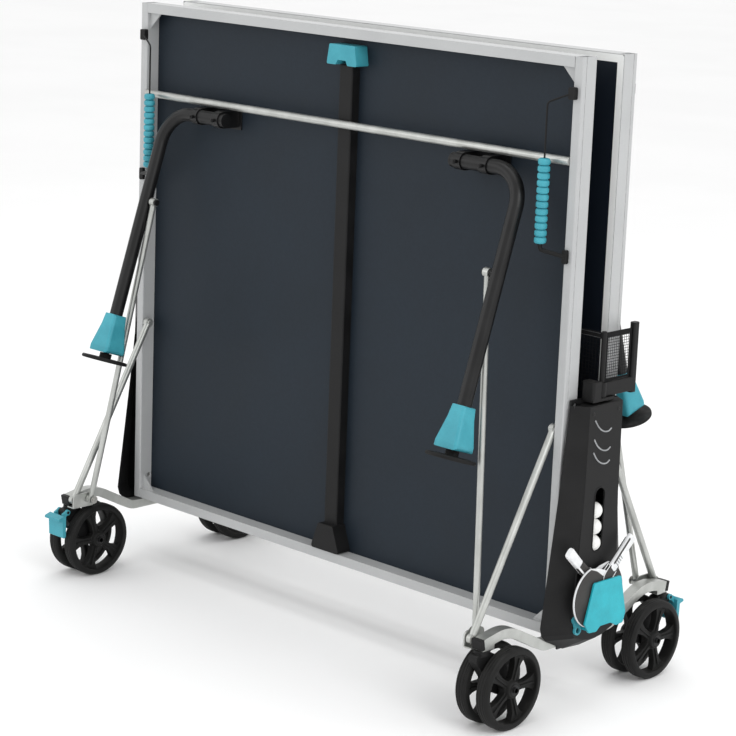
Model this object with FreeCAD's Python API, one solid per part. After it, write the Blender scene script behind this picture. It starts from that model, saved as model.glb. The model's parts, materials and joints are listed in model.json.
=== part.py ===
"""Folding ping pong table on casters, modelled in its storage position.

Frame: millimetres, +Z up, +X across the playing width, +Y along the playing length.  The origin
is on the floor at the middle of the table.  In storage both halves stand upright beside the net,
playing faces towards each other.  Each half slides up in the side uprights on a pair of pins and
turns a quarter turn about them, while its legs swing out and its two pairs of rods follow.
"""
import FreeCAD
import Part
import math
import os

V = FreeCAD.Vector

# ---------------------------------------------------------------- driving dimensions
WIDTH = 1525.0                 # playing width
HALF_LENGTH = 1370.0           # length of one half
PLAY_HEIGHT = 760.0            # playing surface above the floor
NET_HEIGHT = 152.5             # net above the playing surface
NET_OVERHANG = 152.5           # net beyond each side line in play
STORE_Z = 182.5                # net edge above the floor in storage
STORE_GAP = 50.0               # playing face to the middle plane in storage
EDGE_GAP = 5.0                 # net edge to the middle plane in play

SHEET_T = 7.0                  # playing sheet
FRAME_D = 48.0                 # playing face to the underside of the frame
RAIL_W = 25.0                  # width of the frame tube
RAIL_WALL = 2.0
LIP = 2.0                      # edge strip round the sheet

PIN_Y = 66.0                   # lift pins from the middle plane
PIN_R = 6.0
PIN_S = PIN_Y - EDGE_GAP       # lift pins from the net edge
PIN_Z = STORE_Z + PIN_S
LIFT = PLAY_HEIGHT - (PIN_Y - STORE_GAP) - PIN_Z

UPRIGHT_X = 767.0              # inner face of an upright plate
UPRIGHT_T = 4.0
UPRIGHT_HALF_Y = 82.0
UPRIGHT_TOP = 758.0
SLOT_W = 2 * PIN_R + 0.7

BAR_X = 752.5                  # middle of a base bar
BAR_W = 29.0
BAR_H = 24.0
BAR_END_Y = 348.0
BAR_END_Z = 216.0
BAR_ARCH_Y = 258.0
BAR_ARCH_Z = 233.0
BAR_LOW_Y = 125.0
BAR_LOW_Z = 165.0              # middle of the bar under the table
BRACKET_X = 712.6              # inner face of a rod bracket plate
FLANGE_Z = 200.6               # seat of a caster, clear of the wheels

SWIVEL_Y = 334.0
TRAIL = 66.0
WHEEL_R = 100.0
WHEEL_W = 36.0
WHEEL_OFFSET = 32.0            # middle of a wheel from the middle of its caster
AXLE_R = 6.0
PEDAL_Y = 356.0                # hinge of a brake pedal
PEDAL_Z = 186.0
PEDAL_PIN_R = 4.0

LEG_X = 623.0                  # plane of a leg
LEG_R = 17.5
LEG_WALL = 2.0
LEG_BEND = 85.0
LEG_HINGE_S = 1095.0           # leg hinge from the net edge
LEG_HINGE_D = 66.0             # leg hinge below the playing face
LEG_FOLD_ANGLE = 18.0          # leg from plumb in storage
LEG_LENGTH = PLAY_HEIGHT - LEG_HINGE_D
FOOT_IN = 8.0                  # feet screwed in while stored
LEG_TUBE_END_X = 402.0
ROD_ON_LEG = 245.0             # inner rod pivot down the leg

ROD_Z = 222.0                  # rod pivots on the base
OUTER_ROD_S = 500.0            # outer rod pivot from the net edge
OUTER_ROD_D = 37.0             # outer rod pivot below the playing face
OUTER_ROD_X = 726.8
INNER_ROD_TOP_X = 590.0
INNER_ROD_BASE_X = 703.0
OUTER_ROD_R = 9.0
INNER_ROD_R = 8.0

CROSSBAR_S = 1131.0
CROSSBAR_R = 10.0
BEAM_W = 45.0
BEAM_D = 27.0
COUNTER_X = 689.0
COUNTER_Y = 128.0
COUNTER_TOP_Z = STORE_Z + 1263.0
COUNTER_LOW_Z = STORE_Z + 938.0
BEAD_R = 14.5
BEAD_PITCH = 16.5
BEAD_COUNT = 12

COVER_TOP = 746.0
COVER_X0 = 771.5
COVER_X1 = 812.0
COVER_WALL = 3.0
BALL_R = 20.0
BALL_Y = -5.5
BALL_Z = 385.0                 # shelf under the balls

NET_ARM_X = 792.0              # vertical hinge of a net arm
NET_ARM_L = 113.0
NET_TOP = PLAY_HEIGHT + NET_HEIGHT
ARM_Z0 = 759.5
ARM_Z1 = 794.0

HALF_X = WIDTH / 2
PLAY_Y = -STORE_GAP
UNDER_Y = -(STORE_GAP + FRAME_D)
SHEET_Y = -(STORE_GAP + SHEET_T)
STORE_TOP = STORE_Z + HALF_LENGTH


# ---------------------------------------------------------------- small helpers
def box(x0, x1, y0, y1, z0, z1):
    return Part.makeBox(x1 - x0, y1 - y0, z1 - z0, V(x0, y0, z0))


def rod(start, end, radius):
    axis = end - start
    return Part.makeCylinder(radius, axis.Length, start, axis)


def disc_x(x0, x1, y, z, radius):
    return rod(V(x0, y, z), V(x1, y, z), radius)


def fuse(shapes):
    whole = shapes[0].multiFuse(shapes[1:]) if len(shapes) > 1 else shapes[0]
    return whole.removeSplitter()


def prism_x(points, x0, x1):
    """Solid with an outline of (y, z) points, drawn from x0 to x1."""
    wire = Part.makePolygon([V(x0, y, z) for y, z in points + points[:1]])
    return Part.Face(wire).extrude(V(x1 - x0, 0, 0))


def prism_y(points, y0, y1):
    """Solid with an outline of (x, z) points, drawn from y0 to y1."""
    wire = Part.makePolygon([V(x, y0, z) for x, z in points + points[:1]])
    return Part.Face(wire).extrude(V(0, y1 - y0, 0))


def mirror_x(shape):
    return shape.mirror(V(0, 0, 0), V(1, 0, 0))


def mirror_y(shape):
    return shape.mirror(V(0, 0, 0), V(0, 1, 0))


def both_sides(shape):
    return Part.makeCompound([shape, mirror_x(shape)])


def round_edges(shape, radius, picked):
    edges = [edge for edge in shape.Edges if picked(edge)]
    return shape.makeFillet(radius, edges) if edges else shape


def along(edge, axis):
    """True for a straight edge that lies along the axis."""
    if not isinstance(edge.Curve, Part.Line):
        return False
    direction = edge.Vertexes[1].Point - edge.Vertexes[0].Point
    return abs(abs(direction.normalize().dot(axis)) - 1) < 1e-4


def bent_path(points, radii):
    """Edges through the points, with a bend of the given radius at each inner point."""
    edges = []
    here = points[0]
    for index, bend in enumerate(radii):
        corner = points[index + 1]
        before = (points[index] - corner).normalize()
        after = (points[index + 2] - corner).normalize()
        half = before.getAngle(after) / 2
        reach = bend / math.tan(half)
        start = corner + before * reach
        end = corner + after * reach
        middle = (before + after).normalize()
        centre = corner + middle * (bend / math.sin(half))
        edges.append(Part.LineSegment(here, start).toShape())
        edges.append(Part.Arc(start, centre - middle * bend, end).toShape())
        here = end
    edges.append(Part.LineSegment(here, points[-1]).toShape())
    return edges


def bent_tube(points, radii, radius, wall=0.0):
    """Round tube along a bent path."""
    edges = bent_path(points, radii)
    first = (points[1] - points[0]).normalize()

    def skin(size):
        ring = Part.Wire([Part.Circle(points[0], first, size).toShape()])
        return Part.Wire(edges).makePipeShell([ring], True, True)

    tube = Part.Solid(skin(radius))
    if wall:
        tube = tube.cut(Part.Solid(skin(radius - wall)))
    return tube


# ---------------------------------------------------------------- places in the fold
def leg_point(distance, side_y=0.0):
    """Point down the leg from its hinge in storage, offset square to the leg."""
    angle = math.radians(LEG_FOLD_ANGLE)
    hinge_y = -(STORE_GAP + LEG_HINGE_D)
    hinge_z = STORE_Z + LEG_HINGE_S
    y = hinge_y - distance * math.sin(angle) + side_y * math.cos(angle)
    z = hinge_z - distance * math.cos(angle) - side_y * math.sin(angle)
    return y, z


def base_pivot(stored, played, height):
    """Distance out from the middle where a rod reaches both its ends of travel."""
    near = stored[0] ** 2 + (stored[1] - height) ** 2
    far = played[0] ** 2 + (played[1] - height) ** 2
    return (near - far) / (2 * (stored[0] - played[0]))


OUTER_TOP = (-(STORE_GAP + OUTER_ROD_D), STORE_Z + OUTER_ROD_S)
OUTER_TOP_PLAY = (-(OUTER_ROD_S + EDGE_GAP), PLAY_HEIGHT - OUTER_ROD_D)
OUTER_BASE_Y = base_pivot(OUTER_TOP, OUTER_TOP_PLAY, ROD_Z)
INNER_TOP = leg_point(ROD_ON_LEG)
INNER_TOP_PLAY = (-(LEG_HINGE_S + EDGE_GAP), LEG_LENGTH - ROD_ON_LEG)
INNER_BASE_Y = base_pivot(INNER_TOP, INNER_TOP_PLAY, ROD_Z)


# ---------------------------------------------------------------- one half of the table
def top_panel():
    sheet = box(-HALF_X + LIP, HALF_X - LIP, SHEET_Y, PLAY_Y, STORE_Z + LIP, STORE_TOP - LIP)
    return round_edges(sheet, 6, lambda edge: along(edge, V(0, 1, 0)))


def side_rail():
    inner = HALF_X - RAIL_W
    tube = box(inner, HALF_X, UNDER_Y, SHEET_Y, STORE_Z, STORE_TOP)
    tube = round_edges(tube, 3, lambda edge: along(edge, V(0, 0, 1)) and edge.Vertexes[0].Y < -90)
    strip = box(HALF_X - LIP, HALF_X, SHEET_Y - 1, PLAY_Y - 0.5, STORE_Z, STORE_TOP)
    hollow = box(inner + RAIL_WALL, HALF_X - RAIL_WALL, UNDER_Y + RAIL_WALL, SHEET_Y - RAIL_WALL,
                 STORE_Z, STORE_TOP)
    groove = box(HALF_X - 0.8, HALF_X + 1, UNDER_Y + 12, UNDER_Y + 14, STORE_Z, STORE_TOP)
    rail = fuse([tube, strip]).cut(hollow).cut(groove)
    boss = disc_x(inner + 1, HALF_X - 1, -PIN_Y, PIN_Z, PIN_R + 2.5)
    hole = disc_x(inner - 1, HALF_X + 1, -PIN_Y, PIN_Z, PIN_R + 0.05)
    return rail.fuse(boss).cut(hole)


def end_rails():
    inner = HALF_X - RAIL_W
    rails = []
    for z0, lip_z in ((STORE_Z, STORE_Z), (STORE_TOP - RAIL_W, STORE_TOP - LIP)):
        tube = box(-inner, inner, UNDER_Y, SHEET_Y, z0, z0 + RAIL_W)
        hollow = box(-inner, inner, UNDER_Y + RAIL_WALL, SHEET_Y - RAIL_WALL,
                     z0 + RAIL_WALL, z0 + RAIL_W - RAIL_WALL)
        strip = box(-HALF_X + LIP, HALF_X - LIP, SHEET_Y, PLAY_Y - 0.5, lip_z, lip_z + LIP)
        piece = tube.cut(hollow)
        edge_z = z0 if lip_z == z0 else z0 + RAIL_W - RAIL_WALL
        seat = box(-inner, inner, SHEET_Y - 1, SHEET_Y, edge_z, edge_z + RAIL_WALL)
        for side in (-1, 1):
            corner = side * (inner - 0.01)
            rise = 1 if z0 == STORE_Z else -1
            face_z = z0 + RAIL_W if rise > 0 else z0
            outline = [(corner, face_z), (corner - side * 42, face_z), (corner, face_z + rise * 42)]
            piece = piece.fuse(prism_y(outline, SHEET_Y - 30, SHEET_Y - 26))
        rails.append(fuse([piece, seat, strip]))
    return Part.makeCompound(rails)


def centre_beam():
    z0 = STORE_Z + RAIL_W
    z1 = STORE_Z + 1276
    channel = box(-BEAM_W / 2, BEAM_W / 2, SHEET_Y - BEAM_D, SHEET_Y, z0, z1)
    channel = round_edges(channel, 4, lambda edge: along(edge, V(0, 0, 1))
                          and edge.Vertexes[0].Y < SHEET_Y - 5)
    hollow = box(-BEAM_W / 2 + 2, BEAM_W / 2 - 2, SHEET_Y - BEAM_D + 2, SHEET_Y, z0 + 90, z1)
    outline = [(-26, z0 + 71), (26, z0 + 71), (48, z0 + 10), (48, z0 + 1), (-48, z0 + 1), (-48, z0 + 10)]
    top = prism_y(outline, UNDER_Y - 4, SHEET_Y)
    cap = round_edges(top, 5, lambda edge: along(edge, V(0, 1, 0)))
    return fuse([channel, cap]).cut(hollow)


def crossbar():
    inner = HALF_X - RAIL_W
    z = STORE_Z + CROSSBAR_S
    y = SHEET_Y - BEAM_D - CROSSBAR_R - 0.3
    return disc_x(-inner, inner, y, z, CROSSBAR_R)


def leg_brackets():
    y, z = leg_point(0)
    pair = []
    for x0 in (412.0, 494.0):
        plate = box(x0, x0 + 24, y, SHEET_Y, z - 22, z + 22)
        ring = disc_x(x0, x0 + 24, y, z, LEG_R + 3.5)
        foot = box(x0 - 12, x0 + 36, SHEET_Y - 4, SHEET_Y, z - 28, z + 28)
        bolt = rod(V(x0 + 12, y - LEG_R - 4, z), V(x0 + 12, y - LEG_R - 10, z), 5)
        pair.append(fuse([plate, ring, foot, bolt]).cut(disc_x(x0 - 1, x0 + 25, y, z, LEG_R + 0.08)))
    tie = box(436, 494, SHEET_Y - 4, SHEET_Y, z - 28, z + 28)
    return both_sides(fuse(pair + [tie]))


def counter_frame():
    wire_y = -COUNTER_Y
    rail_x = HALF_X - RAIL_W + 8
    top = V(rail_x, UNDER_Y - 8, COUNTER_TOP_Z + 26)
    points = [top, V(COUNTER_X, wire_y, COUNTER_TOP_Z), V(COUNTER_X, wire_y, COUNTER_LOW_Z - 6)]
    wire = bent_tube(points, [12], 2.2)
    upper = box(rail_x - 12, rail_x + 6, UNDER_Y - 13, UNDER_Y, COUNTER_TOP_Z + 10, COUNTER_TOP_Z + 38)
    upper = round_edges(upper, 4, lambda edge: along(edge, V(0, 1, 0)))
    low_z = COUNTER_LOW_Z - 26
    clip = box(rail_x - 8, rail_x + 6, UNDER_Y - 9, UNDER_Y, low_z - 16, low_z + 16)
    clip = round_edges(clip, 4, lambda edge: along(edge, V(0, 1, 0)))
    arm = bent_tube([V(rail_x, UNDER_Y - 5, low_z), V(COUNTER_X, wire_y, COUNTER_LOW_Z - 14),
                     V(COUNTER_X, wire_y, COUNTER_LOW_Z - 0.6)], [8], 5)
    return fuse([wire, upper, clip, arm])


def beads():
    """Twelve counting beads threaded on the wire, resting on the lower arm."""
    stack = []
    for index in range(BEAD_COUNT):
        z = COUNTER_LOW_Z + index * BEAD_PITCH
        bead = Part.makeCylinder(BEAD_R, BEAD_PITCH - 0.5, V(COUNTER_X, -COUNTER_Y, z))
        bead = bead.makeFillet(6, [e for e in bead.Edges if isinstance(e.Curve, Part.Circle)])
        stack.append(bead)
    core = Part.makeCylinder(5, BEAD_COUNT * BEAD_PITCH - 1, V(COUNTER_X, -COUNTER_Y, COUNTER_LOW_Z))
    bore = Part.makeCylinder(2.6, 400, V(COUNTER_X, -COUNTER_Y, COUNTER_LOW_Z - 50))
    return fuse(stack + [core]).cut(bore)


def release_handle():
    """Pull handle above the centre beam with the release rod that runs down inside the beam."""
    z0 = STORE_Z + 1277.5
    outline = [(-52, z0), (-20, z0), (-14, z0 + 12), (14, z0 + 12), (20, z0), (52, z0),
               (44, z0 + 50), (-44, z0 + 50)]
    grip = prism_y(outline, UNDER_Y - 3, SHEET_Y - 0.5)
    grip = round_edges(grip, 4, lambda edge: along(edge, V(0, 1, 0)))
    finger = box(-36, 36, UNDER_Y + 4, SHEET_Y, z0 + 20, z0 + 43)
    rod_y = SHEET_Y - BEAM_D / 2
    pull = rod(V(0, rod_y, STORE_Z + RAIL_W + 95), V(0, rod_y, z0 + 15), 4)
    return fuse([grip.cut(finger), pull])


def leg():
    hinge_y, hinge_z = leg_point(0)
    low_y, low_z = leg_point(LEG_LENGTH - FOOT_IN - 48)
    points = [V(LEG_TUBE_END_X, hinge_y, hinge_z), V(LEG_X, hinge_y, hinge_z), V(LEG_X, low_y, low_z)]
    tube = bent_tube(points, [LEG_BEND], LEG_R, LEG_WALL)
    cap = disc_x(LEG_TUBE_END_X - 4, LEG_TUBE_END_X, hinge_y, hinge_z, LEG_R + 0.5)
    lug_y, lug_z = INNER_TOP
    lug = disc_x(INNER_ROD_TOP_X + INNER_ROD_R + 1.8, LEG_X - LEG_R + 3, lug_y, lug_z, 7)
    pin = disc_x(INNER_ROD_TOP_X - INNER_ROD_R - 5, LEG_X - LEG_R + 3, lug_y, lug_z, 4)
    head = disc_x(INNER_ROD_TOP_X - INNER_ROD_R - 5, INNER_ROD_TOP_X - INNER_ROD_R - 0.5,
                  lug_y, lug_z, 8)
    inside = rod(V(LEG_X, *leg_point(ROD_ON_LEG - 60)), V(LEG_X, *leg_point(ROD_ON_LEG + 60)),
                 LEG_R - LEG_WALL)
    return fuse([tube, cap, fuse([lug, pin, head]).cut(inside)])


def leg_boot():
    """Plastic boot that flares towards the foot."""
    start = LEG_LENGTH - FOOT_IN - 128
    end = LEG_LENGTH - FOOT_IN - 24
    rings = []
    for distance, half_x, half_y in ((start, 22, 22), (start + 30, 25, 25), (end - 14, 36, 34),
                                     (end, 36, 34)):
        corners = []
        for sx, sy in ((-1, -1), (1, -1), (1, 1), (-1, 1)):
            y, z = leg_point(distance, sy * half_y)
            corners.append(V(LEG_X + sx * half_x, y, z))
        rings.append(Part.makePolygon(corners + corners[:1]))
    body = Part.makeLoft(rings, True, True)
    long_edges = [e for e in body.Edges if abs(e.Vertexes[0].Z - e.Vertexes[1].Z) > 9]
    body = body.makeFillet(9, long_edges)
    bore = rod(V(LEG_X, *leg_point(start - 10)), V(LEG_X, *leg_point(end - 18)), LEG_R)
    outlet = rod(V(LEG_X, *leg_point(start)), V(LEG_X, *leg_point(end + 10)), 10.5)
    return body.cut(bore).cut(outlet)


def foot_pad():
    """Screw-in foot: a wide disc on a stem inside the leg tube."""
    end = LEG_LENGTH - FOOT_IN
    stem = rod(V(LEG_X, *leg_point(end - 110)), V(LEG_X, *leg_point(end - 7)), 8)
    neck = rod(V(LEG_X, *leg_point(end - 22.5)), V(LEG_X, *leg_point(end - 7)), 16)
    disc = rod(V(LEG_X, *leg_point(end - 9)), V(LEG_X, *leg_point(end)), 61)
    rims = [e for e in disc.Edges if isinstance(e.Curve, Part.Circle)]
    return fuse([stem, neck, disc.makeFillet(3, rims)])


def outer_rod():
    top_y, top_z = OUTER_TOP
    eye_top = V(OUTER_ROD_X, top_y, top_z)
    eye_low = V(OUTER_ROD_X, OUTER_BASE_Y, ROD_Z)
    tube = rod(eye_top, eye_low, OUTER_ROD_R)
    ends = [disc_x(OUTER_ROD_X - 6, OUTER_ROD_X + 6, p.y, p.z, 12) for p in (eye_top, eye_low)]
    inner = HALF_X - RAIL_W
    spacer = disc_x(OUTER_ROD_X, inner - 0.4, top_y, top_z, 7)
    bolt = disc_x(OUTER_ROD_X - 11, OUTER_ROD_X, top_y, top_z, 7)
    return fuse([tube, spacer, bolt] + ends)


def inner_rod():
    top_y, top_z = INNER_TOP
    top = V(INNER_ROD_TOP_X, top_y, top_z)
    low = V(INNER_ROD_BASE_X, INNER_BASE_Y, ROD_Z)
    ends = [disc_x(p.x - INNER_ROD_R, p.x + INNER_ROD_R, p.y, p.z, 11) for p in (top, low)]
    body = fuse([rod(top, low, INNER_ROD_R)] + ends)
    return body.cut(disc_x(top.x - 20, top.x + 20, top_y, top_z, 4.06))


def guide_carriage():
    y = -PIN_Y
    slot_x = UPRIGHT_X + UPRIGHT_T
    pin = disc_x(HALF_X - RAIL_W + 3, slot_x + 8, y, PIN_Z, PIN_R)
    collar = disc_x(HALF_X + 0.6, UPRIGHT_X - 0.5, y, PIN_Z, PIN_R + 5)
    keeper = box(slot_x + 0.5, slot_x + 6, y - 11, y + 11, PIN_Z - 18, PIN_Z + 18)
    keeper = round_edges(keeper, 5, lambda edge: along(edge, V(1, 0, 0)))
    return fuse([pin, collar, keeper])


# ---------------------------------------------------------------- fixed base
def base_bar():
    """Arched tube along a side, with a seat for a caster under each end."""
    half = [(-BAR_END_Y, BAR_END_Z), (-BAR_ARCH_Y, BAR_ARCH_Z), (-BAR_LOW_Y, BAR_LOW_Z)]
    shape_points = half + [(-y, z) for y, z in reversed(half)]
    points = [V(BAR_X, y, z) for y, z in shape_points]
    path = Part.Wire(bent_path(points, (110, 60, 60, 110)))
    up = V(1, 0, 0).cross((points[1] - points[0]).normalize())
    corners = []
    for sx, sz in ((-1, -1), (1, -1), (1, 1), (-1, 1)):
        corners.append(points[0] + V(1, 0, 0) * (sx * BAR_W / 2) + up * (sz * BAR_H / 2))
    ring = Part.makePolygon(corners + corners[:1])
    bar = Part.Solid(path.makePipeShell([ring], True, True, 1))
    seat = box(BAR_X - BAR_W / 2, BAR_X + BAR_W / 2, -BAR_END_Y + 3, -306, FLANGE_Z, 214)
    bar = fuse([bar, seat, mirror_y(seat)])
    for side in (-1, 1):
        bar = bar.cut(Part.makeCylinder(8.06, 16, V(BAR_X, side * SWIVEL_Y, FLANGE_Z - 1)))
    return bar


def rod_bracket():
    """Flange on the inner side of a bar end and the plate that carries the two rods."""
    flange = box(BRACKET_X, BAR_X - BAR_W / 2, -354, -286, FLANGE_Z, FLANGE_Z + 3)
    plate = box(BRACKET_X, BRACKET_X + 3.6, -354, -286, FLANGE_Z + 3, ROD_Z + 17)
    plate = round_edges(plate, 12, lambda edge: along(edge, V(1, 0, 0)) and edge.Vertexes[0].Z > ROD_Z)
    return [flange, plate]


def rod_brackets():
    solids = rod_bracket()
    solids += [mirror_y(solid) for solid in solids]
    solids += [mirror_x(solid) for solid in solids]
    return Part.makeCompound(solids)


def base_frame():
    """Beam across the table with a slotted upright plate at each end."""
    beam = box(-(BAR_X - BAR_W / 2), BAR_X - BAR_W / 2, -18, 18, 152, 194)
    beam = round_edges(beam, 4, lambda edge: along(edge, V(1, 0, 0)))
    x0 = UPRIGHT_X
    x1 = UPRIGHT_X + UPRIGHT_T
    plate = box(x0, x1, -UPRIGHT_HALF_Y, UPRIGHT_HALF_Y, 148, UPRIGHT_TOP)
    rib = box(x1, x1 + 3, -24, -20.6, 176, 700)
    upright = plate.fuse([rib, mirror_y(rib)])
    for side in (-1, 1):
        y = side * PIN_Y
        slot = box(x0 - 1, x1 + 1, y - SLOT_W / 2, y + SLOT_W / 2, PIN_Z, PIN_Z + LIFT)
        upright = upright.cut(slot)
        for z in (PIN_Z, PIN_Z + LIFT):
            upright = upright.cut(disc_x(x0 - 1, x1 + 1, y, z, SLOT_W / 2))
    stub = box(BAR_X - BAR_W / 2, x0, -14, 14, BAR_LOW_Z + BAR_H / 2 + 0.1, 193)
    side_piece = upright.fuse(stub)
    return fuse([beam, side_piece, mirror_x(side_piece)])


def cover_outline(x, half, shrink):
    """Closed outline of a side cover at one depth, from half of its (y, z) points, top first."""
    ring = [(y, z) for y, z in half] + [(-y, z) for y, z in reversed(half) if y > 0]
    top = max(z for y, z in half)
    points = []
    for y, z in ring:
        side = 0 if y == 0 else math.copysign(shrink, y)
        rise = -shrink if z == top else shrink if z < 200 else 0
        points.append(V(x, y - side, z + rise))
    return Part.makePolygon(points + points[:1])


COVER_WIDE = [(85, COVER_TOP), (110, 523), (150, 215), (144, 194), (129, 179), (63, 146), (0, 142)]
COVER_NARROW = [(62, COVER_TOP), (65, 523), (84, 215), (82, 196), (73, 184), (36, 171), (0, 167)]


def side_cover(with_ball_slot):
    outer = Part.makeLoft([cover_outline(COVER_X0, COVER_WIDE, 0),
                           cover_outline(COVER_X1 - 2.5, COVER_NARROW, -0.5),
                           cover_outline(COVER_X1, COVER_NARROW, 2)], True, True)
    inside = Part.makeLoft([cover_outline(COVER_X0 - 0.5, COVER_WIDE, COVER_WALL),
                            cover_outline(COVER_X1 - COVER_WALL, COVER_NARROW, COVER_WALL)], True, True)
    shell = outer.cut(inside)
    shelf = box(COVER_X0 + 3.5, COVER_X1 - 2, BALL_Y - 24, BALL_Y + 24, BALL_Z - 4, BALL_Z)
    shell = shell.fuse(shelf)
    for side in (-1, 1):
        middle = side * PIN_Y
        shell = shell.cut(box(COVER_X0 - 1, COVER_X0 + 9, middle - 14, middle + 14, 730, 760))
    if with_ball_slot:
        shell = shell.fuse(disc_x(790, HOOK_X - 0.4, HOOK_Y, HOOK_Z, 7))
        width = 18.0
        low = BALL_Z + 20.4
        high = BALL_Z + 141
        slot = box(COVER_X1 - 8, COVER_X1 + 5, BALL_Y - width, BALL_Y + width, low, high)
        ends = [disc_x(COVER_X1 - 8, COVER_X1 + 5, BALL_Y, z, width) for z in (low, high)]
        shell = shell.cut(fuse([slot] + ends))
    return shell.removeSplitter()


def balls():
    x = COVER_X1 - COVER_WALL - 12
    low = BALL_Z + 0.4 + BALL_R
    column = [Part.makeSphere(BALL_R, V(x, BALL_Y, low + i * 2 * BALL_R)) for i in range(3)]
    return Part.makeCompound(column)


HOLDER_Z = 287.0
HOLDER_X = 843.0               # inner face of a bat holder plate
HOOK_X = 812.6
HOOK_Y = -78.0
HOOK_Z = 232.0
RING_Y = -66.0
RING_Z = 205.0


def bat_holder():
    outline = [(-50, 325), (50, 325), (74, 230), (66, 205), (40, 203), (20, 214), (-20, 214),
               (-34, 203), (-62, 205), (-78, 230)]
    plate = prism_x(outline, HOLDER_X, HOLDER_X + 5)
    plate = round_edges(plate, 6, lambda edge: along(edge, V(1, 0, 0)))
    feet = [box(COVER_X1, HOLDER_X + 1, y - 8, y + 8, 204.5, 210.4) for y in (-44, 50)]
    return fuse([plate] + feet)


def bat(x, y, lean):
    """Bat blade square to X with its handle leaning from plumb."""
    blade = disc_x(x - 4.5, x + 4.5, y, HOLDER_Z, 76)
    rims = [e for e in blade.Edges if isinstance(e.Curve, Part.Circle)]
    blade = blade.makeFillet(2, rims)
    grip = box(x - 7.2, x + 7.2, y - 14.5, y + 14.5, HOLDER_Z + 80, HOLDER_Z + 182)
    grip = round_edges(grip, 6, lambda edge: along(edge, V(0, 0, 1)))
    neck = box(x - 4.5, x + 4.5, y - 13, y + 13, HOLDER_Z + 60, HOLDER_Z + 90)
    whole = fuse([blade, grip, neck])
    whole.rotate(V(x, y, HOLDER_Z), V(1, 0, 0), lean)
    return whole


def lock_hook():
    """Finger ring of the transport lock, hinged beside the bat holder."""
    x0 = HOOK_X
    x1 = HOOK_X + 6
    arm = prism_x([(HOOK_Y - 5, HOOK_Z - 4), (HOOK_Y + 6, HOOK_Z + 2), (RING_Y + 8, RING_Z + 8),
                   (RING_Y - 9, RING_Z + 4)], x0, x1)
    body = fuse([disc_x(x0, x1, HOOK_Y, HOOK_Z, 8), arm, disc_x(x0, x1, RING_Y, RING_Z, 12)])
    return body.cut(disc_x(x0 - 1, x1 + 1, RING_Y, RING_Z, 7))


# ---------------------------------------------------------------- net
def net_bracket():
    """Fixed housing on top of the upright with the corner post of the net."""
    x = NET_ARM_X
    shelf = box(UPRIGHT_X + UPRIGHT_T, x + 14, -44, 34, 752.5, 759)
    block = box(UPRIGHT_X + 1, x + 14, -44, -16, 759, 800)
    block = round_edges(block, 6, lambda edge: along(edge, V(0, 0, 1)) and edge.Vertexes[0].Y < -40)
    post = Part.makeCylinder(6, NET_TOP + 3 - 754, V(x, 0, 754))
    cut = Part.makeCylinder(15, 60, V(x, 0, 759.1))
    return fuse([shelf, block.cut(cut), post])


def net_arm():
    x = NET_ARM_X
    sleeve = Part.makeCylinder(12, ARM_Z1 - ARM_Z0, V(x, 0, ARM_Z0))
    arm = box(x - 8, x + 8, 0, NET_ARM_L, ARM_Z0, ARM_Z1)
    arm = round_edges(arm, 3, lambda edge: along(edge, V(0, 1, 0)))
    post = box(x - 8, x + 8, NET_ARM_L - 10, NET_ARM_L + 10, ARM_Z0 - 4, NET_TOP + 12)
    post = round_edges(post, 5, lambda edge: along(edge, V(0, 0, 1)))
    return fuse([sleeve, arm, post]).cut(Part.makeCylinder(6.06, 60, V(x, 0, ARM_Z0 - 5)))


def net_end():
    x = NET_ARM_X
    return box(x - 1, x + 1, 8, NET_ARM_L - 10.4, ARM_Z1 + 0.4, NET_TOP)


def net():
    low_reach = NET_ARM_X - 12.5
    top_reach = NET_ARM_X - 6.4
    low = box(-low_reach, low_reach, -1, 1, PLAY_HEIGHT + 2, NET_TOP)
    return fuse([low, box(-top_reach, top_reach, -1, 1, ARM_Z1 + 1, NET_TOP)])


# ---------------------------------------------------------------- casters
def caster_fork(with_pedal):
    """Swivel head, arm and axle between the two wheels, for the front right corner."""
    x = BAR_X
    axle_y = -(SWIVEL_Y - TRAIL)
    stem = Part.makeCylinder(8, 15, V(x, -SWIVEL_Y, 199))
    head = Part.makeCylinder(18, 12.3, V(x, -SWIVEL_Y, 188))
    hull = [(-364, 193), (-316, 194), (axle_y + 2, 168), (axle_y + 24, 122), (axle_y + 25, 90),
            (axle_y, 76), (axle_y - 28, 88), (-364, 178)]
    arm = prism_x(hull, x - 12.5, x + 12.5)
    arm = round_edges(arm, 7, lambda edge: along(edge, V(1, 0, 0)))
    axle = disc_x(x - 56, x + 56, axle_y, WHEEL_R, AXLE_R)
    pieces = [stem, head, arm, axle]
    if with_pedal:
        pieces.append(disc_x(x - 21, x + 21, -PEDAL_Y, PEDAL_Z, PEDAL_PIN_R))
    return fuse(pieces)


def wheel(x):
    """Spoked wheel with a rounded tread, square to X."""
    y = -(SWIVEL_Y - TRAIL)
    half = WHEEL_W / 2
    body = disc_x(x - half, x + half, y, WHEEL_R, WHEEL_R)
    rims = [e for e in body.Edges if isinstance(e.Curve, Part.Circle)]
    body = body.makeFillet(7, rims)
    for side in (-1, 1):
        face = x + side * half
        dish = disc_x(face - 8 if side > 0 else face - 1, face + 1 if side > 0 else face + 8,
                      y, WHEEL_R, WHEEL_R - 19)
        body = body.cut(dish)
    hub = disc_x(x - half, x + half, y, WHEEL_R, 21)
    body = body.fuse(hub)
    for index in range(5):
        angle = 36 + 72 * index
        window = wheel_window(x)
        window.rotate(V(x, y, WHEEL_R), V(1, 0, 0), angle)
        body = body.cut(window)
    return body.cut(disc_x(x - half - 1, x + half + 1, y, WHEEL_R, AXLE_R + 0.06)).removeSplitter()


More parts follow.
